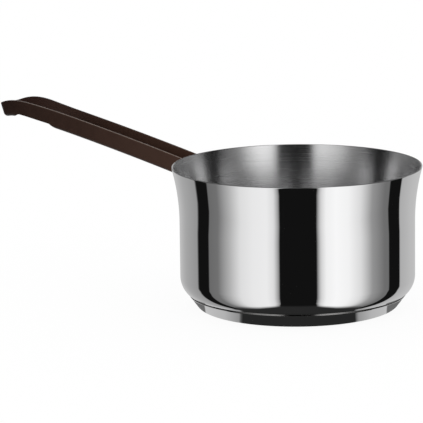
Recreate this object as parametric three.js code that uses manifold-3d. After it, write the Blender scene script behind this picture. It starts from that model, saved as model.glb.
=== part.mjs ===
// Saucepan: a drawn steel body on a capsule base, with a folded sheet handle welded below the rim.
// Millimetres, +Z up. The origin is the centre of the base's underside and the handle runs along -X.
import * as THREE from 'three';
import { mergeVertices } from 'three/addons/utils/BufferGeometryUtils.js';
import Module from 'manifold-3d';

const wasm = await Module();
wasm.setup();

// Pot body
const wallRadius = 76.2; // outside of the straight wall
const flareOutset = 4.8; // the rim stands out beyond the straight wall by this much
const potHeight = 93; // from the underside of the base to the top of the rim
const wallSheet = 1; // steel of the wall and floor
const flareHeight = 36; // the wall curves outward over this height below the rim
const cornerRadius = 14.5; // outside curve between wall and underside

// Capsule base
const capSheet = 0.8; // steel dish under the base
const coreThickness = 5.8; // aluminium heat spreader inside the dish
const bondGap = 0.1; // brazed layer on each side of the heat spreader
const coreEdgeGap = 0.3; // room round the heat spreader's edge
const seamInset = 6; // the dish's lip meets the body this far inside the wall
const lipStep = 0.4; // how far the lip stands proud of the body
const footInset = 14.9; // the dish's sloping side would meet the ground this far inside the wall
const footRound = 3; // length of the rounding on each side of that corner

// Handle
const handleLength = 186; // from the straight wall to the tip, measured level
const handleWidth = 18.4; // across the outsides of the flanges
const handleDepth = 12.5; // outside of the web to the flanges' top edges
const handleSheet = 1.5;
const foldRadius = 3; // outside of the folds between web and flanges
const handleDrop = 7.3; // top edge below the rim, at the straight wall
const rootAngle = 11.4; // climb of the handle at the pot, in degrees
const archDrop = 5.7; // the tip lies this far under the line of that climb
const noseDrop = 7.7; // further drop of the turned-down nose
const noseLength = 38; // length of the turned-down nose
const noseTaper = 2.4; // the tip is shallower than the rest of the handle by this much
const taperLength = 45;
const swell = 2.2; // each flange bows out by this much beside the slot
const swellBack = 20; // from the widest place to the tip
const swellReach = 23; // spread of the bow to each side of its widest place
const nosePlanRadius = 5; // vertical corners of the closed end
const noseToeRadius = 2.5; // lower edge of the closed end
const slotLength = 46; // hanging slot in the web
const slotLand = 10.5; // from the slot to the tip
const slotRise = 2.25; // the slot's long edges lie this far above the web's underside
const slotOverrun = 0.8; // the slot's cut runs past the flanges by this much

// Three tabs at the handle's root, bent out of its sheet and welded to the wall
const weldGap = 0.3; // between the tabs and the wall
const tabSheet = 1.4; // pressed a little thinner than the handle
const tabBend = 4; // from the corner of a bend to each of its ends
const tabRoot = 5; // a tab runs into the handle's sheet by this much
const sideTabReach = 10; // beyond the flanges
const sideTabHeight = 9;
const footTabWidth = 12;
const footTabReach = 13; // below the web
const tabRound = 4; // corners of the tabs

// Facets
const aroundSteps = 72;
const arcSteps = 4;
const handleSteps = 52;
const foldSteps = 6;

// Worked out from the sizes above
const undersideHeight = capSheet + bondGap + coreThickness + bondGap;
const seamRadius = wallRadius - seamInset;
const footRadius = wallRadius - footInset;
const cornerCentre = new THREE.Vector2(wallRadius - cornerRadius, undersideHeight + cornerRadius);
const flareStart = potHeight - flareHeight;
const rimEdgeRadius = wallSheet / 2;
const rimRadius = wallRadius + flareOutset;
const flareRise = flareHeight - rimEdgeRadius;
const flareMidRadius = (flareOutset ** 2 + flareRise ** 2) / (2 * flareOutset);
const flareAngle = Math.asin(flareRise / flareMidRadius);
const flareCentre = new THREE.Vector2(wallRadius - rimEdgeRadius + flareMidRadius, flareStart);

// Turns a closed geometry into a solid that can be joined and cut
function solid(geometry) {
  geometry.deleteAttribute('normal');
  geometry.deleteAttribute('uv');
  const merged = mergeVertices(geometry, 1e-5);
  const corners = merged.index.array;
  const triVerts = [];
  for (let i = 0; i < corners.length; i += 3) {
    const [a, b, c] = corners.slice(i, i + 3);
    if (a !== b && b !== c && c !== a) triVerts.push(a, b, c);
  }
  const mesh = new wasm.Mesh({
    numProp: 3,
    vertProperties: new Float32Array(merged.attributes.position.array),
    triVerts: new Uint32Array(triVerts),
  });
  return new wasm.Manifold(mesh);
}

function namedMesh(name, shape, material) {
  const { vertProperties, triVerts } = shape.getMesh();
  const geometry = new THREE.BufferGeometry();
  geometry.setAttribute('position', new THREE.BufferAttribute(vertProperties, 3));
  geometry.setIndex(new THREE.BufferAttribute(triVerts, 1));
  geometry.computeVertexNormals();
  const mesh = new THREE.Mesh(geometry, material);
  mesh.name = name;
  return mesh;
}

// A profile in radius and height, turned about the Z axis
function turned(points) {
  return solid(new THREE.LatheGeometry(points, aroundSteps).rotateX(Math.PI / 2));
}

// The outside of the wall from the axis to the rim, moved outward by an offset
function wallProfile(offset) {
  const flareRadius = flareMidRadius - rimEdgeRadius - offset;
  const profile = new THREE.Path();
  profile.moveTo(0, undersideHeight - offset);
  profile.lineTo(cornerCentre.x, undersideHeight - offset);
  profile.absarc(cornerCentre.x, cornerCentre.y, cornerRadius + offset, -Math.PI / 2, 0, false);
  profile.lineTo(wallRadius + offset, flareStart);
  profile.absarc(flareCentre.x, flareCentre.y, flareRadius, Math.PI, Math.PI - flareAngle, true);
  return profile.getPoints(arcSteps);
}

function potBody() {
  const rim = new THREE.Path();
  const edgeRadius = flareCentre.x - flareMidRadius * Math.cos(flareAngle);
  const edgeHeight = flareStart + flareRise;
  rim.absarc(edgeRadius, edgeHeight, rimEdgeRadius, -flareAngle, Math.PI - flareAngle, false);
  const roundEdge = rim.getPoints(2).slice(1, -1);
  const inside = wallProfile(-wallSheet).reverse();
  return turned([...wallProfile(0), ...roundEdge, ...inside]);
}

// Where the dish's lip lies on the body's lower curve, at a distance from its surface
function onCorner(distance) {
  const across = (seamRadius - cornerCentre.x) / cornerRadius;
  const down = Math.sqrt(1 - across ** 2);
  const reach = cornerRadius + distance;
  return new THREE.Vector2(cornerCentre.x + reach * across, cornerCentre.y - reach * down);
}

const lipOutside = onCorner(bondGap + lipStep);
const lipInside = onCorner(bondGap);
const capSlope = Math.atan2(lipOutside.y, lipOutside.x - footRadius);
const footInside = new THREE.Vector2(footRadius - capSheet * Math.tan(capSlope / 2), capSheet);

function baseCap() {
  const foot = new THREE.Vector2(footRadius, 0);
  const slopeStart = lipOutside.clone().sub(foot).setLength(footRound).add(foot);
  const profile = new THREE.Path();
  profile.moveTo(0, 0);
  profile.lineTo(footRadius - footRound, 0);
  profile.quadraticCurveTo(foot.x, foot.y, slopeStart.x, slopeStart.y);
  profile.lineTo(lipOutside.x, lipOutside.y);
  profile.lineTo(lipInside.x, lipInside.y);
  profile.lineTo(footInside.x, footInside.y);
  profile.lineTo(0, capSheet);
  return turned(profile.getPoints(arcSteps));
}

function baseCore() {
  const low = capSheet + bondGap;
  const high = undersideHeight - bondGap;
  const inwardPerRise = (lipInside.x - footInside.x) / (lipInside.y - footInside.y);
  const sideAt = (height) => footInside.x + (height - footInside.y) * inwardPerRise - coreEdgeGap;
  const corners = [[0, low], [sideAt(low), low], [sideAt(high), high], [0, high]];
  return turned(corners.map(([radius, height]) => new THREE.Vector2(radius, height)));
}

// Places a section's point beside the flanges' top edge, at a level distance from the straight wall
function onHandle(along, across, up) {
  const climb = Math.tan(THREE.MathUtils.degToRad(rootAngle));
  const bend = Math.max(0, (along - handleLength + noseLength) / noseLength);
  const fall = archDrop * (along / handleLength) ** 2 + noseDrop * bend ** 3;
  const fallSlope = 2 * archDrop * along / handleLength ** 2 + 3 * noseDrop * bend ** 2 / noseLength;
  const angle = Math.atan(climb - fallSlope);
  const x = -wallRadius - along + up * Math.sin(angle);
  const z = potHeight - handleDrop + climb * along - fall + up * Math.cos(angle);
  return new THREE.Vector3(x, across, z);
}

function halfWidthAt(along) {
  const away = (along - handleLength + swellBack) / swellReach;
  return handleWidth / 2 + swell * Math.exp(-(away ** 2));
}

function depthAt(along) {
  const taper = Math.max(0, (along - handleLength + taperLength) / taperLength);
  return handleDepth - noseTaper * taper ** 2;
}

// A closed bar through a section's changing shapes, run on at both ends so that the cuts there are clean
function lofted(sectionAt) {
  const places = [];
  let ringSize = 0;
  for (let i = 0; i <= handleSteps; i += 1) {
    const along = THREE.MathUtils.lerp(-handleDepth, handleLength + handleDepth, i / handleSteps);
    const ring = sectionAt(along);
    ringSize = ring.length;
    for (const point of ring) places.push(onHandle(along, point.x, point.y));
  }
  const faces = [];
  const last = handleSteps * ringSize;
  for (let i = 0; i < last; i += ringSize) {
    for (let j = 0; j < ringSize; j += 1) {
      const a = i + j;
      const b = i + (j + 1) % ringSize;
      faces.push(a, a + ringSize, b + ringSize, a, b + ringSize, b);
    }
  }
  for (let j = 1; j < ringSize - 1; j += 1) {
    faces.push(0, j, j + 1, last, last + j + 1, last + j);
  }
  const geometry = new THREE.BufferGeometry().setFromPoints(places);
  return solid(geometry.setIndex(faces));
}

// Points round a bar's section that hangs below the top edge's line, with round lower corners
function barSection(halfWidth, top, bottom, radius) {
  const side = halfWidth - radius;
  const high = bottom + radius;
  const left = new THREE.EllipseCurve(-side, high, radius, radius, Math.PI, Math.PI * 1.5);
  const right = new THREE.EllipseCurve(side, high, radius, radius, Math.PI * 1.5, Math.PI * 2);
  const corners = [...left.getPoints(foldSteps), ...right.getPoints(foldSteps)];
  return [new THREE.Vector2(-halfWidth, top), ...corners, new THREE.Vector2(halfWidth, top)];
}

// Moves a block from the nose's own axes (forward, across, up) to the tip
function toTip(geometry) {
  const tip = onHandle(handleLength, 0, 0);
  const across = new THREE.Vector3(0, -1, 0);
  const up = onHandle(handleLength, 0, 1).sub(tip);
  const forward = across.clone().cross(up);
  const place = new THREE.Matrix4().makeBasis(forward, across, up).setPosition(tip);
  return solid(geometry.applyMatrix4(place));
}

// Everything behind the closed end's surface, moved inward by an inset
function behindNose(inset) {
  const halfWidth = halfWidthAt(handleLength - nosePlanRadius) - inset;
  const plan = nosePlanRadius - inset;
  const outline = new THREE.Shape();
  outline.moveTo(-handleLength, -handleLength);
  outline.lineTo(-inset - plan, -halfWidth);
  outline.absarc(-inset - plan, plan - halfWidth, plan, -Math.PI / 2, 0, false);
  outline.lineTo(-inset, halfWidth - plan);
  outline.absarc(-inset - plan, halfWidth - plan, plan, 0, Math.PI / 2, false);
  outline.lineTo(-handleLength, handleLength);
  const planBlock = new THREE.ExtrudeGeometry(outline, { depth: handleLength * 2, curveSegments: arcSteps });
  planBlock.translate(0, 0, -handleLength);

  const toe = noseToeRadius - inset;
  const toeTurn = THREE.MathUtils.degToRad(75);
  const side = new THREE.Shape();
  side.moveTo(-inset, handleLength);
  side.lineTo(-handleLength * 2, handleLength);
  side.lineTo(-handleLength * 2, -handleLength * 2);
  side.absarc(-inset - toe, inset + toe - depthAt(handleLength), toe, -toeTurn, 0, false);
  const sideBlock = new THREE.ExtrudeGeometry(side, { depth: handleWidth * 2, curveSegments: arcSteps });
  sideBlock.translate(0, 0, -handleWidth).rotateX(Math.PI / 2);
  return toTip(planBlock).intersect(toTip(sideBlock));
}

// The slot takes out the web and the folds beside it
function slotCutter() {
  const section = (along) => barSection(handleWidth, slotRise - depthAt(along), -handleDepth * 2, foldRadius);
  const near = handleLength - slotLand;
  const far = near - slotLength;
  const nearRadius = halfWidthAt(near) + slotOverrun;
  const farRadius = halfWidthAt(far) + slotOverrun;
  const outline = new THREE.Shape();
  outline.absarc(nearRadius - near - wallRadius, 0, nearRadius, Math.PI / 2, Math.PI * 1.5, false);
  outline.absarc(-farRadius - far - wallRadius, 0, farRadius, -Math.PI / 2, Math.PI / 2, false);
  const plan = new THREE.ExtrudeGeometry(outline, { depth: potHeight * 2, curveSegments: arcSteps * 2 });
  return lofted(section).intersect(solid(plan));
}

function roundedBlock(width, low, high, radius) {
  const outline = new THREE.Shape();
  const half = width / 2;
  outline.absarc(half - radius, high - radius, radius, 0, Math.PI / 2, false);
  outline.absarc(radius - half, high - radius, radius, Math.PI / 2, Math.PI, false);
  outline.absarc(radius - half, low + radius, radius, Math.PI, Math.PI * 1.5, false);
  outline.absarc(half - radius, low + radius, radius, Math.PI * 1.5, Math.PI * 2, false);
  const block = new THREE.ExtrudeGeometry(outline, { depth: rimRadius * 2, curveSegments: arcSteps });
  return solid(block.rotateX(Math.PI / 2).rotateZ(-Math.PI / 2));
}

// Outside radius of the wall at a height on its straight or flared part
function wallRadiusAt(height) {
  const above = Math.max(0, height - flareStart);
  return flareCentre.x - Math.sqrt((flareMidRadius - rimEdgeRadius) ** 2 - above ** 2);
}

// A bent strip of sheet seen on edge: the line of its middle, widened to both sides
function stripOutline(line) {
  const middle = line.getPoints(arcSteps);
  const edge = (side) => middle.map((point, i) => {
    const ahead = middle[Math.min(i + 1, middle.length - 1)].clone();
    const run = ahead.sub(middle[Math.max(i - 1, 0)]).setLength(side * tabSheet / 2);
    return new THREE.Vector2(point.x - run.y, point.y + run.x);
  });
  return new THREE.Shape([...edge(1), ...edge(-1).reverse()]);
}

const webHeight = potHeight - handleDrop - handleDepth;
const tabOffset = weldGap + tabSheet / 2;

// One flange's tab, drawn from above and leaned with the flare of the wall
function sideTab(side) {
  const low = webHeight + foldRadius / 2;
  const middle = low + sideTabHeight / 2;
  const reach = wallRadiusAt(middle) + tabOffset;
  const flange = (handleWidth - handleSheet) / 2;
  const onWall = (y) => new THREE.Vector2(-Math.sqrt(reach ** 2 - y ** 2), side * y);
  const corner = onWall(flange);
  const bendEnd = onWall(flange + tabBend);
  const line = new THREE.Path();
  line.moveTo(corner.x - tabBend - tabRoot, corner.y);
  line.lineTo(corner.x - tabBend, corner.y);
  line.quadraticCurveTo(corner.x, corner.y, bendEnd.x, bendEnd.y);
  for (let i = 1; i <= arcSteps; i += 1) {
    const point = onWall(flange + tabBend + sideTabReach * (i / arcSteps));
    line.lineTo(point.x, point.y);
  }
  const lean = (wallRadiusAt(low + sideTabHeight) - wallRadiusAt(low)) / sideTabHeight;
  const withFlare = new THREE.Matrix4().set(1, 0, -lean, lean * middle, 0, 1, 0, 0, 0, 0, 1, 0, 0, 0, 0, 1);
  const plate = new THREE.ExtrudeGeometry(stripOutline(line), { depth: potHeight }).applyMatrix4(withFlare);
  const width = handleWidth + 2 * sideTabReach;
  return solid(plate).intersect(roundedBlock(width, low, low + sideTabHeight, tabRound));
}

// The web's tab, drawn from the side
function footTab() {
  const climb = THREE.MathUtils.degToRad(rootAngle);
  const depth = handleDepth - handleSheet / 2;
  const onWall = (z) => new THREE.Vector2(-wallRadiusAt(z) - tabOffset, z);
  const outward = new THREE.Vector2(-Math.cos(climb), Math.sin(climb));
  const webX = -wallRadius - depth * Math.sin(climb);
  const webZ = potHeight - handleDrop - depth * Math.cos(climb);
  const corner = onWall(webHeight);
  corner.y = webZ + (webX - corner.x) * Math.tan(climb);
  const bendStart = outward.clone().multiplyScalar(tabBend).add(corner);
  const start = outward.clone().multiplyScalar(tabBend + tabRoot).add(corner);
  const bendEnd = onWall(corner.y - tabBend);
  const line = new THREE.Path();
  line.moveTo(start.x, start.y);
  line.lineTo(bendStart.x, bendStart.y);
  line.quadraticCurveTo(corner.x, corner.y, bendEnd.x, bendEnd.y);
  for (let i = 1; i <= arcSteps; i += 1) {
    const point = onWall(corner.y - tabBend - footTabReach * (i / arcSteps));
    line.lineTo(point.x, point.y);
  }
  const plate = new THREE.ExtrudeGeometry(stripOutline(line), { depth: handleWidth });
  plate.translate(0, 0, -handleWidth / 2).rotateX(Math.PI / 2);
  return solid(plate).intersect(roundedBlock(footTabWidth, webHeight - footTabReach, potHeight, tabRound));
}

function handle() {
  const outside = (along) => barSection(halfWidthAt(along), 0, -depthAt(along), foldRadius);
  const inside = (along) => {
    const web = handleSheet - depthAt(along);
    return barSection(halfWidthAt(along) - handleSheet, handleDepth, web, foldRadius - handleSheet);
  };
  const bar = lofted(outside).intersect(behindNose(0));
  const cavity = lofted(inside).intersect(behindNose(handleSheet));
  const bendRoom = turned([...wallProfile(tabOffset + tabBend), new THREE.Vector2(0, potHeight * 2)]);
  const channel = bar.subtract(cavity).subtract(slotCutter()).subtract(bendRoom);
  return channel.add(sideTab(1)).add(sideTab(-1)).add(footTab());
}

const polishedSteel = new THREE.MeshStandardMaterial({ color: 0xc8cacc, metalness: 1, roughness: 0.08 });
const baseSteel = new THREE.MeshStandardMaterial({ color: 0xbfc1c3, metalness: 1, roughness: 0.16 });
const rawAluminium = new THREE.MeshStandardMaterial({ color: 0xb4b6b8, metalness: 1, roughness: 0.5 });
const brownCoating = new THREE.MeshStandardMaterial({ color: 0x3a2219, metalness: 0.3, roughness: 0.45 });

const saucepan = new THREE.Group();
saucepan.add(
  namedMesh('pot_body', potBody(), polishedSteel),
  namedMesh('base_core', baseCore(), rawAluminium),
  namedMesh('base_cap', baseCap(), baseSteel),
  namedMesh('handle', handle(), brownCoating),
);

export default saucepan;
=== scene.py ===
# Saucepan: polished pot, capsule base and folded brown handle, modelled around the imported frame
import math

import bpy
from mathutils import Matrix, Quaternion, Vector


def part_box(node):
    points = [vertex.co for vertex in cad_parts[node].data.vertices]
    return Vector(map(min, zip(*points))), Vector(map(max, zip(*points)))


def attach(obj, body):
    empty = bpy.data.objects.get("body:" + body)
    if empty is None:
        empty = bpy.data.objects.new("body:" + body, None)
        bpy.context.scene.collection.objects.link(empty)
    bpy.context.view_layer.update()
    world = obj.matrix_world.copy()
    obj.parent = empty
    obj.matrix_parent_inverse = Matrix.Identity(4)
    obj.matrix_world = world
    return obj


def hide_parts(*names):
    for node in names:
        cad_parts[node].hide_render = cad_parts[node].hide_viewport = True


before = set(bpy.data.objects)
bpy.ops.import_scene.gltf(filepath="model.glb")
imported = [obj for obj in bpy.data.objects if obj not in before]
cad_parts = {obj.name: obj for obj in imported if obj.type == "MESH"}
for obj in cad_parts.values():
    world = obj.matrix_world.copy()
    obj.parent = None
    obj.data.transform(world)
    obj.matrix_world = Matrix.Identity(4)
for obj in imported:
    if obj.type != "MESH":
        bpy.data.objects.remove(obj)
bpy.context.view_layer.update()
scene = bpy.context.scene
scene.view_settings.view_transform = "Standard"
mm = 0.001
facesUp = 0.5  # least height of an upward face's normal
print("frame loaded:", ", ".join(sorted(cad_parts)))


# Shared helpers

def deselectAll():
    if bpy.context.mode != "OBJECT":
        bpy.ops.object.mode_set(mode="OBJECT")
    bpy.ops.object.select_all(action="DESELECT")


def lerp(start, end, share):
    return start + (end - start) * share


def linePoints(start, end, count):
    return [tuple(lerp(a, b, i / count) for a, b in zip(start, end)) for i in range(count + 1)]


def arcPoints(centre, radius, start, end, count):
    turns = [lerp(start, end, i / count) for i in range(count + 1)]
    return [(centre[0] + radius * math.cos(t), centre[1] + radius * math.sin(t)) for t in turns]


def curvePoints(start, corner, end, count):  # a bend from start to end that leans towards the corner
    points = []
    for i in range(count + 1):
        t = i / count
        weights = ((1 - t) ** 2, 2 * t * (1 - t), t ** 2)
        weighted = (w * Vector(p) for w, p in zip(weights, (start, corner, end)))
        points.append(sum(weighted, Vector((0, 0, 0))))
    return points


def turnedPiece(name, profile, steps):  # profile of radius and height, spun about the pot's axis
    deselectAll()
    bpy.ops.mesh.primitive_plane_add(size=mm)
    piece = bpy.context.object
    piece.name = piece.data.name = name
    bpy.ops.object.mode_set(mode="EDIT")
    bpy.ops.mesh.merge(type="CENTER")
    bpy.ops.transform.translate(value=(profile[0][0], 0, profile[0][1]))
    for (lastRadius, lastHeight), (radius, height) in zip(profile, profile[1:]):
        step = {"value": (radius - lastRadius, 0, height - lastHeight)}
        bpy.ops.mesh.extrude_region_move(TRANSFORM_OT_translate=step)
    bpy.ops.mesh.select_all(action="SELECT")
    bpy.ops.mesh.spin(steps=steps, angle=math.tau, center=(0, 0, 0), axis=(0, 0, 1))
    bpy.ops.mesh.select_all(action="SELECT")
    bpy.ops.mesh.remove_doubles(threshold=0.002 * mm)
    bpy.ops.mesh.normals_make_consistent(inside=False)
    bpy.ops.object.mode_set(mode="OBJECT")
    return piece


def smooth(piece, angle):
    deselectAll()
    piece.select_set(True)
    bpy.context.view_layer.objects.active = piece
    bpy.ops.object.shade_smooth_by_angle(angle=math.radians(angle))


def addNode(tree, kind, values=None, **settings):
    node = tree.nodes.new(kind)
    for key, value in settings.items():
        setattr(node, key, value)
    for key, value in (values or {}).items():
        node.inputs[key].default_value = value
    return node


def calculate(tree, operation, *terms):  # a math node; each term is a number or another node's output
    node = addNode(tree, "ShaderNodeMath", operation=operation)
    for slot, term in zip(node.inputs, terms):
        if isinstance(term, (int, float)):
            slot.default_value = term
        else:
            tree.links.new(term, slot)
    return node.outputs[0]


def blend(tree, share, first, second):  # mixes two colours; each is a grey level or a node's output
    node = addNode(tree, "ShaderNodeMix", data_type="RGBA")
    tree.links.new(share, node.inputs[0])
    for slot, colour in ((node.inputs[6], first), (node.inputs[7], second)):
        if isinstance(colour, (int, float)):
            slot.default_value = (colour, colour, colour, 1)
        else:
            tree.links.new(colour, slot)
    return node.outputs[2]


def newMaterial(name):
    material = bpy.data.materials.new(name)
    material.use_nodes = True
    return material, material.node_tree, material.node_tree.nodes["Principled BSDF"]


def mapRange(tree, source, start, end, low=0, high=1):  # start..end becomes low..high, and is held beyond
    limits = {"From Min": start, "From Max": end, "To Min": low, "To Max": high}
    node = addNode(tree, "ShaderNodeMapRange", limits)
    tree.links.new(source, node.inputs["Value"])
    return node.outputs["Result"]


noiseSpread = (0.3, 0.7)  # most of a noise lies between these


def noiseRange(tree, noise, low, high):
    return mapRange(tree, noise, *noiseSpread, low, high)


def turnedLines(tree, pitch):  # fine lines that run round the axis, on walls and floors alike
    place = addNode(tree, "ShaderNodeTexCoord")
    split = addNode(tree, "ShaderNodeSeparateXYZ")
    tree.links.new(place.outputs["Object"], split.inputs[0])
    flat = addNode(tree, "ShaderNodeVectorMath", {1: (1, 1, 0)}, operation="MULTIPLY")
    tree.links.new(place.outputs["Object"], flat.inputs[0])
    radius = addNode(tree, "ShaderNodeVectorMath", operation="LENGTH")
    tree.links.new(flat.outputs["Vector"], radius.inputs[0])
    heading = addNode(tree, "ShaderNodeVectorMath", operation="NORMALIZE")
    tree.links.new(flat.outputs["Vector"], heading.inputs[0])
    across = calculate(tree, "ADD", radius.outputs["Value"], split.outputs["Z"])
    lines = calculate(tree, "MULTIPLY", across, 1 / pitch)
    headingSplit = addNode(tree, "ShaderNodeSeparateXYZ")
    tree.links.new(heading.outputs["Vector"], headingSplit.inputs[0])
    spot = addNode(tree, "ShaderNodeCombineXYZ")
    tree.links.new(headingSplit.outputs["X"], spot.inputs["X"])
    tree.links.new(headingSplit.outputs["Y"], spot.inputs["Y"])
    tree.links.new(lines, spot.inputs["Z"])
    noise = addNode(tree, "ShaderNodeTexNoise", {"Scale": 1, "Detail": 3, "Roughness": 0.6})
    tree.links.new(spot.outputs["Vector"], noise.inputs["Vector"])
    return noise.outputs["Fac"]


def spotNoise(tree, size, detail):  # plain noise of about one size, on the piece's own coordinates
    place = addNode(tree, "ShaderNodeTexCoord")
    noise = addNode(tree, "ShaderNodeTexNoise", {"Scale": 1 / size, "Detail": detail, "Roughness": 0.5})
    tree.links.new(place.outputs["Object"], noise.inputs["Vector"])
    return noise.outputs["Fac"]


def addBump(tree, shader, height, depth, strength):
    bump = addNode(tree, "ShaderNodeBump", {"Distance": depth, "Strength": strength})
    tree.links.new(height, bump.inputs["Height"])
    tree.links.new(bump.outputs["Normal"], shader.inputs["Normal"])


# Finishes

def newMetal(name, colour):
    material, tree, shader = newMaterial(name)
    shader.inputs["Base Color"].default_value = colour
    shader.inputs["Metallic"].default_value = 1
    return material, tree, shader


polish = dict(
    colour=(0.93, 0.93, 0.935, 1),
    linePitch=0.6 * mm,
    roughness=(0.015, 0.03),
    waveSize=30 * mm,
    waveDepth=0.02 * mm,
    waveStrength=0.5,
)


def polishedSteel():
    material, tree, shader = newMetal("polishedSteel", polish["colour"])
    lines = turnedLines(tree, polish["linePitch"])
    tree.links.new(noiseRange(tree, lines, *polish["roughness"]), shader.inputs["Roughness"])
    waves = spotNoise(tree, polish["waveSize"], detail=1)
    addBump(tree, shader, waves, polish["waveDepth"], polish["waveStrength"])
    return material


satin = dict(
    colour=(0.86, 0.86, 0.865, 1),
    linePitch=0.45 * mm,
    lineStrength=0.4,
    smoothest=0.8,  # shares of the roughness
    roughest=1.2,
    blurTurn=0.25,  # of a full turn, so that it blurs across the lines
)


def satinSteel(name, roughness, lineDepth):
    material, tree, shader = newMetal(name, satin["colour"])
    shader.inputs["Anisotropic"].default_value = 1
    shader.inputs["Anisotropic Rotation"].default_value = satin["blurTurn"]
    tangent = addNode(tree, "ShaderNodeTangent", direction_type="RADIAL", axis="Z")
    tree.links.new(tangent.outputs["Tangent"], shader.inputs["Tangent"])
    lines = turnedLines(tree, satin["linePitch"])
    varied = noiseRange(tree, lines, roughness * satin["smoothest"], roughness * satin["roughest"])
    tree.links.new(varied, shader.inputs["Roughness"])
    addBump(tree, shader, lines, lineDepth, satin["lineStrength"])
    return material


seam = dict(colour=(0.4, 0.393, 0.387, 1), grainSize=1 * mm, grainDetail=3, roughness=(0.1, 0.18))
aluminium = dict(colour=(0.7, 0.71, 0.72, 1), grainSize=2 * mm, grainDetail=4, roughness=(0.42, 0.6))


def grainedMetal(name, finish):
    material, tree, shader = newMetal(name, finish["colour"])
    grain = spotNoise(tree, finish["grainSize"], finish["grainDetail"])
    tree.links.new(noiseRange(tree, grain, *finish["roughness"]), shader.inputs["Roughness"])
    return material


def seamSteel():  # cut edge of the dish, beside the brazed seam
    return grainedMetal("seamSteel", seam)


def rawAluminium():
    return grainedMetal("rawAluminium", aluminium)


coating = dict(
    # each tone at the nose and at the pot; the lighter tone towards the pot is painted light
    outside=((0.0125, 0.0034, 0.0012, 1), (0.052, 0.0252, 0.017, 1)),
    inside=((0.028, 0.0125, 0.0095, 1), (0.057, 0.029, 0.019, 1)),  # painted light: a lighter copy of the coating inside the channel, where the flanges shade it
    edgeHighlight=((0.09, 0.066, 0.055, 1), (0.12, 0.084, 0.068, 1)),  # painted highlight along the top of the near flange, where light from above falls
    span=(-255 * mm, -85 * mm),  # from the nose to the pot
    mottleSize=6 * mm,
    mottle=0.06,  # shifts the tint along the handle by up to this share
    specular=0.25,
    specularTint=(1, 0.8, 0.7, 1),
    sheen=0.35,
    sheenRoughness=0.3,
    grainSize=0.5 * mm,
    grainDepth=0.03 * mm,
    grainStrength=0.35,
    roughness=(0.36, 0.46),
)


def brownCoating(name, nose, root):
    material, tree, shader = newMaterial(name)
    shader.inputs["Specular IOR Level"].default_value = coating["specular"]
    shader.inputs["Specular Tint"].default_value = coating["specularTint"]
    shader.inputs["Sheen Weight"].default_value = coating["sheen"]
    shader.inputs["Sheen Roughness"].default_value = coating["sheenRoughness"]
    place = addNode(tree, "ShaderNodeTexCoord")
    split = addNode(tree, "ShaderNodeSeparateXYZ")
    tree.links.new(place.outputs["Object"], split.inputs[0])
    # painted light: the tone lightens from the nose towards the pot
    along = mapRange(tree, split.outputs["X"], *coating["span"])
    spots = spotNoise(tree, coating["mottleSize"], detail=3)
    mottle = noiseRange(tree, spots, -coating["mottle"], coating["mottle"])
    tint = addNode(tree, "ShaderNodeValToRGB")
    tint.color_ramp.elements[0].color = nose
    tint.color_ramp.elements[1].color = root
    tree.links.new(calculate(tree, "ADD", along, mottle), tint.inputs["Fac"])
    tree.links.new(tint.outputs["Color"], shader.inputs["Base Color"])
    grain = spotNoise(tree, coating["grainSize"], detail=2)
    tree.links.new(noiseRange(tree, grain, *coating["roughness"]), shader.inputs["Roughness"])
    addBump(tree, shader, grain, coating["grainDepth"], coating["grainStrength"])
    return material


# Pot: one drawn sheet, polished outside and turned satin inside

pot = dict(
    sheet=1 * mm,
    flareOutset=4.8 * mm,  # rim beyond the straight wall
    flareHeight=36 * mm,
    cornerRadius=14.5 * mm,
    edgeRing=0.15 * mm,  # a close ring keeps the shading even up to the rim
    around=288,
    floorSteps=24,
    cornerSteps=24,
    straightSteps=10,
    flareSteps=28,
    edgeSteps=12,
    smoothAngle=40,
    insideRoughness=0.235,
    insideLines=0.006 * mm,
)
potLow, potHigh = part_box("pot_body")
rimRadius = potHigh.x
rimHeight = potHigh.z
potUnderside = potLow.z
wallRadius = rimRadius - pot["flareOutset"]
cornerCentre = (wallRadius - pot["cornerRadius"], potUnderside + pot["cornerRadius"])
flareStart = rimHeight - pot["flareHeight"]
flareRise = pot["flareHeight"] - pot["sheet"] / 2
flareRadius = (pot["flareOutset"] ** 2 + flareRise ** 2) / (2 * pot["flareOutset"])
flareAngle = math.asin(flareRise / flareRadius)
flareCentre = (wallRadius - pot["sheet"] / 2 + flareRadius, flareStart)


def wallRadiusAt(height):  # outside of the wall, above the lower curve
    above = max(0, height - flareStart)
    return flareCentre[0] - math.sqrt((flareRadius - pot["sheet"] / 2) ** 2 - above ** 2)


def wallSide(inset):  # one face of the sheet, from the axis to the rim
    floor = potUnderside + inset
    low = linePoints((0, floor), (cornerCentre[0], floor), pot["floorSteps"])
    corner = arcPoints(cornerCentre, pot["cornerRadius"] - inset, -math.pi / 2, 0, pot["cornerSteps"])
    wall = wallRadius - inset
    straight = linePoints((wall, cornerCentre[1]), (wall, flareStart), pot["straightSteps"])
    flare = flareRadius - pot["sheet"] / 2 + inset
    end = math.pi - flareAngle
    top = arcPoints(flareCentre, flare, math.pi, end + pot["edgeRing"] / flare, pot["flareSteps"])
    top += arcPoints(flareCentre, flare, end, end, 1)[:1]
    return low[:-1] + corner[:-1] + straight[:-1] + top


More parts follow.
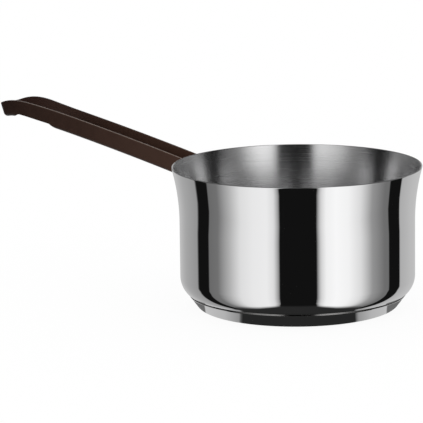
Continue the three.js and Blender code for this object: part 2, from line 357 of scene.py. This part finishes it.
def makePot():
    middle = flareRadius * math.cos(flareAngle)
    edgeCentre = (flareCentre[0] - middle, flareStart + flareRise)
    edge = arcPoints(edgeCentre, pot["sheet"] / 2, -flareAngle, math.pi - flareAngle, pot["edgeSteps"])
    inside = wallSide(pot["sheet"])
    profile = wallSide(0) + edge[1:-1] + inside[::-1]
    piece = turnedPiece("potShell", profile, pot["around"])
    piece.data.materials.append(polishedSteel())
    piece.data.materials.append(satinSteel("turnedSatin", pot["insideRoughness"], pot["insideLines"]))
    for face in piece.data.polygons:
        radius = face.center.to_2d().length
        facesIn = face.normal.x * face.center.x + face.normal.y * face.center.y < 0
        onFloor = face.normal.z > facesUp and radius < wallRadius
        face.material_index = 1 if facesIn or onFloor else 0
    smooth(piece, pot["smoothAngle"])
    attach(piece, "root")
    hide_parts("pot_body")
    return piece


# Base: the stamped dish that holds the heat spreader

cap = dict(
    sheet=0.8 * mm,
    seamInset=6 * mm,  # lip inside the wall
    lipStep=0.4 * mm,
    bondGap=0.1 * mm,
    footInset=14.9 * mm,
    footRound=3 * mm,
    fullness=2.3 * mm,  # the side stands out above the foot
    undersideSteps=24,
    bendSteps=12,
    sideSteps=10,
    floorSteps=4,
    smoothAngle=40,
    undersideRoughness=0.24,
    undersideLines=0.01 * mm,
    flatBand=0.1 * mm,  # faces below this height are the underside
    lipFacing=0.3,  # least height of the lip's normal
)


def onLowerCurve(distance):  # beside the seam, at a distance from the pot's surface
    across = (wallRadius - cap["seamInset"] - cornerCentre[0]) / pot["cornerRadius"]
    down = math.sqrt(1 - across ** 2)
    reach = pot["cornerRadius"] + distance
    return cornerCentre[0] + reach * across, cornerCentre[1] - reach * down


def makeCap():
    lipOut = onLowerCurve(cap["bondGap"] + cap["lipStep"])
    lipIn = onLowerCurve(cap["bondGap"])
    foot = wallRadius - cap["footInset"]
    corner = foot + cap["fullness"]
    slope = math.atan2(lipOut[1], lipOut[0] - corner)
    slopeStart = (corner + cap["footRound"] * math.cos(slope), cap["footRound"] * math.sin(slope))
    flatEnd = foot - cap["footRound"]
    bend = curvePoints((flatEnd, 0, 0), (corner, 0, 0), (*slopeStart, 0), cap["bendSteps"])
    innerSlope = math.atan2(lipOut[1], lipOut[0] - foot)
    inner = foot - cap["sheet"] * math.tan(innerSlope / 2)
    underside = linePoints((0, 0), (flatEnd, 0), cap["undersideSteps"])
    side = linePoints(slopeStart, lipOut, cap["sideSteps"])
    floor = linePoints((inner, cap["sheet"]), (0, cap["sheet"]), cap["floorSteps"])
    profile = underside[:-1] + [(p.x, p.y) for p in bend[:-1]] + side + [lipIn] + floor
    piece = turnedPiece("baseDish", profile, pot["around"])
    piece.data.materials.append(polishedSteel())
    satinUnder = satinSteel("turnedUnderside", cap["undersideRoughness"], cap["undersideLines"])
    piece.data.materials.append(satinUnder)
    piece.data.materials.append(seamSteel())
    for face in piece.data.polygons:
        onLip = lipOut[1] < face.center.z < lipIn[1] and face.normal.z > cap["lipFacing"]
        face.material_index = 1 if face.center.z < cap["flatBand"] else 2 if onLip else 0
    smooth(piece, cap["smoothAngle"])
    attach(piece, "root")
    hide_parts("base_cap")
    return piece


# Handle: one sheet folded to a channel, closed at the nose, with a hanging slot and welded tabs

handle = dict(
    length=186 * mm,
    width=18.4 * mm,
    depth=12.5 * mm,
    sheet=1.5 * mm,
    foldRadius=3 * mm,
    drop=7.33 * mm,  # top edge below the rim
    rootAngle=11.4,
    archDrop=5.7 * mm,
    noseDrop=7.7 * mm,
    noseLength=38 * mm,
    noseTaper=2.4 * mm,  # the tip is shallower by this much
    taperLength=45 * mm,
    swell=2.2 * mm,  # each flange bows out beside the slot
    swellBack=20 * mm,
    swellReach=23 * mm,
    planRadius=5 * mm,
    toeRadius=2.5 * mm,
    slotLength=46 * mm,
    slotLand=10.5 * mm,
    slotRise=2.25 * mm,  # the slot's long edges above the web's underside
    slotClear=10 * mm,  # behind the slot, where the rows are straight again
    rootLength=16 * mm,  # over which the rows take the root's shape
    edgeRound=0.35 * mm,
    edgeSegments=3,
    edgeAngle=50,
    smoothAngle=35,
    weldGap=0.3 * mm,
    tabBend=4 * mm,
    sideTabEnd=19 * mm,  # from the middle of the handle
    tabTop=1.5 * mm,  # side tabs start this far below the top edge
    footTabReach=13 * mm,
    tabRound=3.5 * mm,
    weldSpot=1.9 * mm,  # radius of a weld's dimple
    weldDepth=0.3 * mm,
    sideWeld=0.4,  # share of the tab's length
    footWeld=0.45,
)
wallSteps = 24  # down the straight part of a flange
slotFoldSteps = 2  # from there to the slot's edge
foldSteps = 6  # from the slot's edge to the web
webSteps = 12
noseRows = 8
landRows = 14  # between the nose and the slot
slotLengthRows = 16
backRows = 14  # behind the slot
channelRows = 36
rootRows = 10
levelCount = wallSteps + slotFoldSteps + foldSteps
columnCount = 2 * levelCount + webSteps
rootHalf = handle["width"] / 2
slotFold = math.asin(1 - handle["slotRise"] / handle["foldRadius"])


def lineHeight(along):  # top edge of the flanges, at a level distance from the straight wall
    climb = math.tan(math.radians(handle["rootAngle"])) * along
    arch = handle["archDrop"] * (along / handle["length"]) ** 2
    bend = max(0, (along - handle["length"] + handle["noseLength"]) / handle["noseLength"])
    return rimHeight - handle["drop"] + climb - arch - handle["noseDrop"] * bend ** 3


def lineAngle(along):
    step = 0.05 * mm
    return math.atan2(lineHeight(along + step) - lineHeight(along - step), 2 * step)


def halfWidthAt(along):
    away = (along - handle["length"] + handle["swellBack"]) / handle["swellReach"]
    return rootHalf + handle["swell"] * math.exp(-away ** 2)


def depthAt(along):
    taper = max(0, (along - handle["length"] + handle["taperLength"]) / handle["taperLength"])
    return handle["depth"] - handle["noseTaper"] * taper ** 2


def channelPoint(along, across, depth):
    angle = lineAngle(along)
    x = -wallRadius - along - depth * math.sin(angle)
    return Vector((x, across, lineHeight(along) - depth * math.cos(angle)))


# how far a level of the section lies inside the flange and below the top
def levelPlace(level, radius, deep):
    straight = deep - radius
    if level <= wallSteps:
        return 0, straight * level / wallSteps
    fold = level - wallSteps
    if fold <= slotFoldSteps:
        turn = slotFold * fold / slotFoldSteps
    else:
        turn = lerp(slotFold, math.pi / 2, (fold - slotFoldSteps) / foldSteps)
    return radius * (1 - math.cos(turn)), straight + radius * math.sin(turn)


def sectionPlace(column, along):  # across and depth of a column of the section
    radius = handle["foldRadius"]
    half = halfWidthAt(along)
    mirrored = min(column, columnCount - column)
    inset, depth = levelPlace(min(mirrored, levelCount), radius, depthAt(along))
    side = -1 if column <= columnCount / 2 else 1
    across = side * (half - inset)
    if mirrored > levelCount:
        across = lerp(-1, 1, (column - levelCount) / webSteps) * (half - radius)
    return across, depth


tipAngle = lineAngle(handle["length"])
tipHalf = halfWidthAt(handle["length"] - handle["planRadius"] * math.cos(tipAngle))


# rows round the nose's corners: turn 0 at the flanges, 90 degrees at the front
def nosePoint(column, turn):
    share = math.sin(turn) ** 2
    radius = lerp(handle["foldRadius"], handle["toeRadius"], share)
    plan = handle["planRadius"]
    mirrored = min(column, columnCount - column)
    deep = depthAt(handle["length"] - plan * (1 - math.sin(turn)))
    inset, depth = levelPlace(min(mirrored, levelCount), radius, deep)
    back = plan - (plan - inset) * math.sin(turn)
    reach = tipHalf - plan + (plan - inset) * math.cos(turn)
    across = reach * (-1 if column <= columnCount / 2 else 1)
    if mirrored > levelCount:
        across = lerp(-1, 1, (column - levelCount) / webSteps) * reach
    return channelPoint(handle["length"] - back * math.cos(tipAngle), across, depth)


settleTurns = 6


def rootAlong(across, depth):  # where a bend towards the wall begins, found by stepping closer
    along = 0
    for _ in range(settleTurns):
        point = channelPoint(along, across, depth)
        wall = wallRadiusAt(point.z) + handle["weldGap"] + handle["sheet"]
        target = -math.sqrt(wall ** 2 - across ** 2) - handle["tabBend"]
        along += point.x - target
    return along


slotFront = handle["length"] - handle["slotLand"]
slotBack = slotFront - handle["slotLength"]
frontRadius = halfWidthAt(slotFront - rootHalf)  # round ends of the slot
backRadius = halfWidthAt(slotBack + rootHalf)


# each row: the flanges' distance, the share of the slot's bow, and the share of the root's cut
def rowPlan():
    tip = handle["length"] - handle["planRadius"] * math.cos(tipAngle)
    front = slotFront - frontRadius
    back = slotBack + backRadius
    clear = slotBack - handle["slotClear"]
    root = handle["rootLength"]
    rows = [(lerp(tip, front, i / landRows), i / landRows, 0) for i in range(1, landRows + 1)]
    rows += [(lerp(front, back, i / slotLengthRows), 0, 0) for i in range(1, slotLengthRows)]
    rows += [(lerp(back, clear, i / backRows), i / backRows - 1, 0) for i in range(backRows + 1)]
    rows += [(lerp(clear, root, i / channelRows), 0, 0) for i in range(1, channelRows + 1)]
    rows += [(root, 0, i / rootRows) for i in range(1, rootRows + 1)]
    return rows


slotStart = noseRows + landRows
slotRows = range(slotStart, slotStart + slotLengthRows)  # rows of faces between the slot's round ends
handleRows = rowPlan()


def channelGrid(row, column):
    if row <= noseRows:
        return nosePoint(column, lerp(math.pi / 2, 0, row / noseRows))
    along, bow, cut = handleRows[row - noseRows - 1]
    across, depth = sectionPlace(column, along)
    if bow:
        radius = frontRadius if bow > 0 else backRadius
        along += bow * math.sqrt(max(0, radius ** 2 - across ** 2))
        along -= depth * math.sin(lineAngle(along)) * abs(bow)
        across, depth = sectionPlace(column, along)
    if cut:
        along = lerp(along, rootAlong(across, depth), cut)
    return channelPoint(along, across, depth)


def noseWallGrid(row, column):  # closes the front, from the top edge down to the toe
    inset, depth = levelPlace(row, handle["toeRadius"], depthAt(handle["length"]))
    reach = tipHalf - handle["planRadius"]
    along = handle["length"] - inset * math.cos(tipAngle)
    return channelPoint(along, lerp(-reach, reach, column / webSteps), depth)


def tabShrink(left, half):  # share of the width that a round-ended tab keeps near its end
    if left >= handle["tabRound"]:
        return 1
    corner = handle["tabRound"]
    return (half - corner + math.sqrt(corner ** 2 - (corner - left) ** 2)) / half


def onWall(across, height):  # outer face of a tab that lies on the pot
    reach = wallRadiusAt(height) + handle["weldGap"] + handle["sheet"]
    return Vector((-math.sqrt(reach ** 2 - across ** 2), across, height))


bendSteps = 8
sideSteps = 16
footSteps = 26
tabFirst = round(wallSteps * handle["tabTop"] / (handle["depth"] - handle["foldRadius"]))


def rootPoint(column):
    across, depth = sectionPlace(column, 0)
    return channelPoint(rootAlong(across, depth), across, depth)


def dimple(point, centres):
    for centre in centres:
        away = (point - centre).length / handle["weldSpot"]
        if away < 1:
            outward = Vector((point.x, point.y, 0)).normalized()
            return point - outward * handle["weldDepth"] * (1 - away ** 2) ** 2
    return point


def sideTabGrid(side):
    def place(row, column):
        level = tabFirst + column
        start = rootPoint(level if side < 0 else columnCount - level)
        bendEnd = rootHalf + handle["tabBend"]
        if row <= bendSteps:
            corner = onWall(side * rootHalf, start.z)
            end = onWall(side * bendEnd, start.z)
            return curvePoints(start, corner, end, bendSteps)[row]
        top = rootPoint(tabFirst).z
        bottom = rootPoint(wallSteps).z
        middle = (top + bottom) / 2
        across = lerp(bendEnd, handle["sideTabEnd"], (row - bendSteps) / sideSteps)
        shrink = tabShrink(handle["sideTabEnd"] - across, (top - bottom) / 2)
        point = onWall(side * across, middle + (start.z - middle) * shrink)
        weld = onWall(side * lerp(bendEnd, handle["sideTabEnd"], handle["sideWeld"]), middle)
        return dimple(point, [weld])
    return place


def footTabGrid(row, column):
    start = rootPoint(levelCount + column)
    cornerHeight = start.z - math.tan(lineAngle(0)) * handle["tabBend"]
    corner = onWall(start.y, cornerHeight)
    bendEnd = cornerHeight - handle["tabBend"]
    if row <= bendSteps:
        return curvePoints(start, corner, onWall(start.y, bendEnd), bendSteps)[row]
    low = rimHeight - handle["drop"] - handle["depth"] - handle["footTabReach"]
    height = lerp(bendEnd, low, (row - bendSteps) / footSteps)
    reach = rootHalf - handle["foldRadius"]
    point = onWall(start.y * tabShrink(height - low, reach), height)
    weldHeight = lerp(bendEnd, low, handle["footWeld"])
    welds = [onWall(y, weldHeight) for y in (-reach / 2, reach / 2)]
    return dimple(point, welds)


def sheetPatch(name, rows, columns, place):  # a flat blank, bent to shape point by point
    deselectAll()
    bpy.ops.mesh.primitive_grid_add(x_subdivisions=columns, y_subdivisions=rows, size=2)
    patch = bpy.context.object
    patch.name = patch.data.name = name
    for point in patch.data.vertices:
        column = round((point.co.x + 1) / 2 * columns)
        row = round((point.co.y + 1) / 2 * rows)
        point.co = place(row, column)
    return patch


def cutSlot(channel):
    first = levelCount - foldSteps
    bpy.ops.object.mode_set(mode="EDIT")
    bpy.ops.mesh.select_mode(type="FACE")
    bpy.ops.mesh.select_all(action="DESELECT")
    bpy.ops.object.mode_set(mode="OBJECT")
    for face in channel.data.polygons:
        row, column = divmod(face.index, columnCount)
        face.select = row in slotRows and first <= column < columnCount - first
    bpy.ops.object.mode_set(mode="EDIT")
    bpy.ops.mesh.delete(type="FACE")
    bpy.ops.mesh.select_mode(type="VERT")
    bpy.ops.object.mode_set(mode="OBJECT")


def makeHandle():
    rowCount = noseRows + len(handleRows)
    channel = sheetPatch("handleSheet", rowCount, columnCount, channelGrid)
    cutSlot(channel)
    tabColumns = wallSteps - tabFirst
    patches = [
        channel,
        sheetPatch("noseWall", levelCount, webSteps, noseWallGrid),
        sheetPatch("leftTab", bendSteps + sideSteps, tabColumns, sideTabGrid(-1)),
        sheetPatch("rightTab", bendSteps + sideSteps, tabColumns, sideTabGrid(1)),
        sheetPatch("footTab", bendSteps + footSteps, webSteps, footTabGrid),
    ]
    deselectAll()
    for patch in patches:
        patch.select_set(True)
    bpy.context.view_layer.objects.active = channel
    bpy.ops.object.join()
    bpy.ops.object.mode_set(mode="EDIT")
    bpy.ops.mesh.select_all(action="SELECT")
    bpy.ops.mesh.remove_doubles(threshold=0.01 * mm)
    bpy.ops.mesh.normals_make_consistent(inside=False)
    bpy.ops.object.mode_set(mode="OBJECT")
    halfway = -wallRadius - handle["length"] / 2
    onWeb = min(channel.data.polygons, key=lambda face: abs(face.center.x - halfway) + abs(face.center.y))
    if onWeb.normal.z > 0:  # the outside of the web looks down
        bpy.ops.object.mode_set(mode="EDIT")
        bpy.ops.mesh.flip_normals()
        bpy.ops.object.mode_set(mode="OBJECT")
    # inside the channel a lighter copy of the coating as painted light, and along the near flange's top a
    # painted highlight
    for name, tones in (("brownCoating", "outside"), ("brownInsidePaintedLight", "inside"), ("paintedEdgeHighlight", "edgeHighlight")):
        channel.data.materials.append(brownCoating(name, *coating[tones]))
    wall = channel.modifiers.new("sheet", "SOLIDIFY")
    wall.thickness = handle["sheet"]
    wall.offset = -1
    wall.material_offset = 1
    wall.use_even_offset = True
    edges = channel.modifiers.new("edges", "BEVEL")
    edges.width = handle["edgeRound"]
    edges.segments = handle["edgeSegments"]
    edges.limit_method = "ANGLE"
    edges.angle_limit = math.radians(handle["edgeAngle"])
    edges.use_clamp_overlap = False
    for modifier in ("sheet", "edges"):
        bpy.ops.object.modifier_apply(modifier=modifier)
    # the near flange's top faces take the painted highlight
    for face in channel.data.polygons:
        along = -wallRadius - face.center.x
        below = lineHeight(along) - face.center.z
        if below < handle["edgeRound"] and face.normal.z > facesUp and along > handle["tabBend"]:
            face.material_index = 2 if face.center.y < 0 else 0
    smooth(channel, handle["smoothAngle"])
    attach(channel, "root")
    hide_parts("handle")
    return channel


# Studio: pale floor, soft boxes left and right of the camera, and the camera

studio = dict(
    viewAngle=-50,  # the camera's direction from the pot, in degrees round the axis
    dark=0.006,
    zenith=0.15,
    zenithEdge=(0.8, 1),
    drift=(-20, 0.0034),  # below this elevation the bands draw apart by this share a degree
    footDrift=(-37, 0.18),  # and below this one by this many degrees a degree
    softLight=1.3,  # on the floor and the coating, from all round
    # angle to the right of the camera and brightness there, below the horizon and above it; None is dark
    lowBands=(
        (-180, 0.56), (-160, 0.52), (-140, 0.4), (-114.3, 0.31), (-113.7, None),
        (-96.6, None), (-95.9, 0.15), (-84, 0.175), (-70, 0.45), (-57, 0.77), (-44, 0.86),
        (-30, 0.89), (-23, 0.76), (-18.3, 0.3), (-17.7, None),
        (19.2, None), (19.8, 0.3), (23, 0.69), (28, 0.93), (38, 1), (51, 0.95),
        (64, 0.75), (78, 0.31), (94, 0.165), (100, 0.16), (100.6, None),
        (119, None), (119.6, 0.44), (145, 0.52), (180, 0.56),
    ),
    highBands=(
        (-180, None), (-166, 0.07), (-142, 0.17), (-109, 0.2), (-104, 0.1), (-99, None),
        (-75, None), (-70, 0.15), (-62, 0.22), (-56, 0.29), (-44, 0.65), (-34, 0.78),
        (-26, 0.86), (-20, 0.78), (-17, 0.5), (-13, None),
        (17, None), (21, 0.55), (25, 0.95), (32, 1.06), (40, 1.02), (48, 0.75),
        (57, 0.36), (62, 0.25), (76, 0.08), (80.5, None),
        (98.5, None), (104, 0.13), (116, 0.25), (142, 0.2), (166, 0.06), (180, None),
    ),
    horizon=(-0.12, 0.02),  # sine of the elevation where one turns into the other
    backdrop=(150, 165),  # between these angles the horizon behind the pot rises
    backdropRise=0.25,
)


def bandsAround(tree, turn, stops):  # a level for each angle; the turn is a share, with 0.5 at the camera
    node = addNode(tree, "ShaderNodeValToRGB")
    tree.links.new(turn, node.inputs["Fac"])
    ramp = node.color_ramp
    for degrees, _ in stops[1:-1]:
        ramp.elements.new(0.5 + degrees / 360)
    for stop, (degrees, level) in zip(ramp.elements, stops):
        grey = studio["dark"] if level is None else level
        stop.position = 0.5 + degrees / 360
        stop.color = (grey, grey, grey, 1)
    return node.outputs["Color"]


# turn of a place or direction round the axis, to the right of the camera, and its height
def angleFromCamera(tree, place):
    turn = addNode(tree, "ShaderNodeVectorRotate", {"Angle": math.radians(-studio["viewAngle"])})
    turn.rotation_type = "Z_AXIS"
    tree.links.new(place, turn.inputs["Vector"])
    split = addNode(tree, "ShaderNodeSeparateXYZ")
    tree.links.new(turn.outputs["Vector"], split.inputs[0])
    ahead, side, height = split.outputs
    return calculate(tree, "ARCTAN2", side, ahead), height


def makeWorld():
    world = bpy.data.worlds.new("studio")
    scene.world = world
    world.use_nodes = True
    world.cycles.sampling_method = "NONE"  # what a ray sees depends on its kind
    tree = world.node_tree
    place = addNode(tree, "ShaderNodeTexCoord")
    angle, height = angleFromCamera(tree, place.outputs["Generated"])
    elevation = calculate(tree, "ARCSINE", height)
    below = [calculate(tree, "MINIMUM", calculate(tree, "SUBTRACT", elevation, math.radians(start)), 0)
             for start in (studio["drift"][0], studio["footDrift"][0])]
    kept = calculate(tree, "MULTIPLY_ADD", below[0], math.degrees(studio["drift"][1]), 1)
    shift = calculate(tree, "MULTIPLY", below[1], studio["footDrift"][1])
    away = calculate(tree, "MULTIPLY_ADD", calculate(tree, "ABSOLUTE", angle), kept, shift)
    drifted = calculate(tree, "MULTIPLY", away, calculate(tree, "SIGN", angle))
    around = calculate(tree, "MULTIPLY_ADD", drifted, 1 / math.tau, 0.5)
    backdropAngles = (math.radians(degrees) for degrees in studio["backdrop"])
    behind = mapRange(tree, calculate(tree, "ABSOLUTE", angle), *backdropAngles)
    lowered = calculate(tree, "MULTIPLY_ADD", behind, -studio["backdropRise"], height)
    rising = mapRange(tree, lowered, *studio["horizon"])
    lowBands = bandsAround(tree, around, studio["lowBands"])
    bands = blend(tree, rising, lowBands, bandsAround(tree, around, studio["highBands"]))
    overhead = mapRange(tree, height, *studio["zenithEdge"])
    seen = blend(tree, overhead, bands, studio["zenith"])

    rays = addNode(tree, "ShaderNodeLightPath")
    lit = blend(tree, rays.outputs["Is Glossy Ray"], studio["softLight"], seen)
    shown = blend(tree, rays.outputs["Is Camera Ray"], lit, 1)
    tree.links.new(shown, tree.nodes["Background"].inputs["Color"])


floorPlan = dict(
    size=12,
    colour=0.5,
    shadowShare=0.1,
    below=0.05 * mm,
    # painted shadow and painted lit patches on the floor beside the foot, glowing for the steel alone:
    # angle to the right of the camera, and brightness
    ring=(56 * mm, 70.5 * mm),
    shadeAndLightBands=(
        (-180, 0.15), (-69.6, 0.15), (-69, 0.56), (-48, 0.48), (-35.6, 0.28), (-35, 0.02),
        (36.2, 0.02), (36.8, 0.3), (48, 0.48), (63.8, 0.54), (64.4, 0.15), (180, 0.15),
    ),
    # and the painted shadow on the floor before it: angle, and how far it reaches from the axis
    shadowReach=(
        (-180, 60 * mm), (-45, 60 * mm), (-39, 75 * mm), (-34, 77.7 * mm), (-23, 81 * mm), (-15, 86 * mm),
        (-11, 89 * mm), (11, 89 * mm), (15, 86 * mm), (23, 81 * mm), (34, 77.7 * mm), (39, 75 * mm),
        (45, 60 * mm), (180, 60 * mm),
    ),
    shadowFade=3.5 * mm,
    shadowLevel=0.022,
    shadowEnd=95 * mm,
    ringSteps=180,
)


def glossyOnly(piece):
    for kind in ("camera", "diffuse", "shadow", "transmission", "volume_scatter"):
        setattr(piece, "visible_" + kind, False)


def makeFloor():
    deselectAll()
    bpy.ops.mesh.primitive_plane_add(size=floorPlan["size"], location=(0, 0, -floorPlan["below"]))
    floor = bpy.context.object
    floor.name = "floor"
    material, tree, shader = newMaterial("paleFloor")
    grey = floorPlan["colour"]
    shader.inputs["Base Color"].default_value = (grey, grey, grey, 1)
    shader.inputs["Specular IOR Level"].default_value = 0
    shader.inputs["Roughness"].default_value = 1
    shown = floorPlan["shadowShare"]
    white = (1 - shown * grey * studio["softLight"]) / (1 - shown)  # so that the open floor comes out at 1
    glow = addNode(tree, "ShaderNodeEmission", {"Strength": white})
    rays = addNode(tree, "ShaderNodeLightPath")
    share = calculate(tree, "MULTIPLY", rays.outputs["Is Camera Ray"], 1 - shown)
    mixed = addNode(tree, "ShaderNodeMixShader")
    tree.links.new(share, mixed.inputs[0])
    tree.links.new(shader.outputs[0], mixed.inputs[1])
    tree.links.new(glow.outputs[0], mixed.inputs[2])
    clear = addNode(tree, "ShaderNodeBsdfTransparent")
    side = addNode(tree, "ShaderNodeNewGeometry")
    oneSided = addNode(tree, "ShaderNodeMixShader")
    tree.links.new(side.outputs["Backfacing"], oneSided.inputs[0])
    tree.links.new(mixed.outputs[0], oneSided.inputs[1])
    tree.links.new(clear.outputs[0], oneSided.inputs[2])
    tree.links.new(oneSided.outputs[0], tree.nodes["Material Output"].inputs["Surface"])
    floor.data.materials.append(material)
    floor.visible_glossy = False  # the steel shows the soft boxes


# a glowing ring of painted floor shadow and painted light
def makePaintedShadeRing():  # seen in the steel alone
    inner, edge = floorPlan["ring"]
    height = -floorPlan["below"] / 2
    profile = [(inner, height), (floorPlan["shadowEnd"], height)]
    ring = turnedPiece("paintedShadeRing", profile, floorPlan["ringSteps"])
    material, tree, _ = newMaterial("paintedShadeRing")
    place = addNode(tree, "ShaderNodeTexCoord")
    angle, _ = angleFromCamera(tree, place.outputs["Object"])
    around = calculate(tree, "MULTIPLY_ADD", angle, 1 / math.tau, 0.5)
    radius = addNode(tree, "ShaderNodeVectorMath", operation="LENGTH")
    tree.links.new(place.outputs["Object"], radius.inputs[0])
    beyond = calculate(tree, "GREATER_THAN", radius.outputs["Value"], edge)
    level = blend(tree, beyond, bandsAround(tree, around, floorPlan["shadeAndLightBands"]), floorPlan["shadowLevel"])
    glow = addNode(tree, "ShaderNodeEmission")
    tree.links.new(level, glow.inputs["Color"])
    reach = bandsAround(tree, around, floorPlan["shadowReach"])
    past = calculate(tree, "SUBTRACT", radius.outputs["Value"], reach)
    thin = mapRange(tree, past, -floorPlan["shadowFade"], floorPlan["shadowFade"])
    clear = addNode(tree, "ShaderNodeBsdfTransparent")
    mixed = addNode(tree, "ShaderNodeMixShader")
    tree.links.new(calculate(tree, "MULTIPLY", thin, beyond), mixed.inputs[0])
    tree.links.new(glow.outputs[0], mixed.inputs[1])
    tree.links.new(clear.outputs[0], mixed.inputs[2])
    tree.links.new(mixed.outputs[0], tree.nodes["Material Output"].inputs["Surface"])
    ring.data.materials.append(material)
    glossyOnly(ring)


camera = dict(
    distance=2.0,
    height=448.2 * mm,
    yaw=-0.0277,
    pitch=0.1902,
    roll=-0.0129,
    focal=3146.5,  # in pixels of the photograph's frame
    frame=423,
)


def makeCamera():
    data = bpy.data.cameras.new("photoCamera")
    data.sensor_width = 36
    data.lens = camera["focal"] / camera["frame"] * data.sensor_width
    eye = bpy.data.objects.new("photoCamera", data)
    scene.collection.objects.link(eye)
    around = math.radians(studio["viewAngle"])
    away = camera["distance"]
    eye.location = (away * math.cos(around), away * math.sin(around), camera["height"])
    heading = around + math.pi - camera["yaw"]
    level = math.cos(camera["pitch"])
    ahead = Vector((math.cos(heading) * level, math.sin(heading) * level, -math.sin(camera["pitch"])))
    eye.rotation_mode = "QUATERNION"
    eye.rotation_quaternion = ahead.to_track_quat("-Z", "Y") @ Quaternion((0, 0, 1), camera["roll"])
    scene.camera = eye


makePot()
print("pot made")
makeCap()
print("base dish made")
makeHandle()
print("handle made")
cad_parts["base_core"].material_slots[0].material = rawAluminium()
makeWorld()
makeFloor()
makePaintedShadeRing()
makeCamera()
print("studio and camera made")
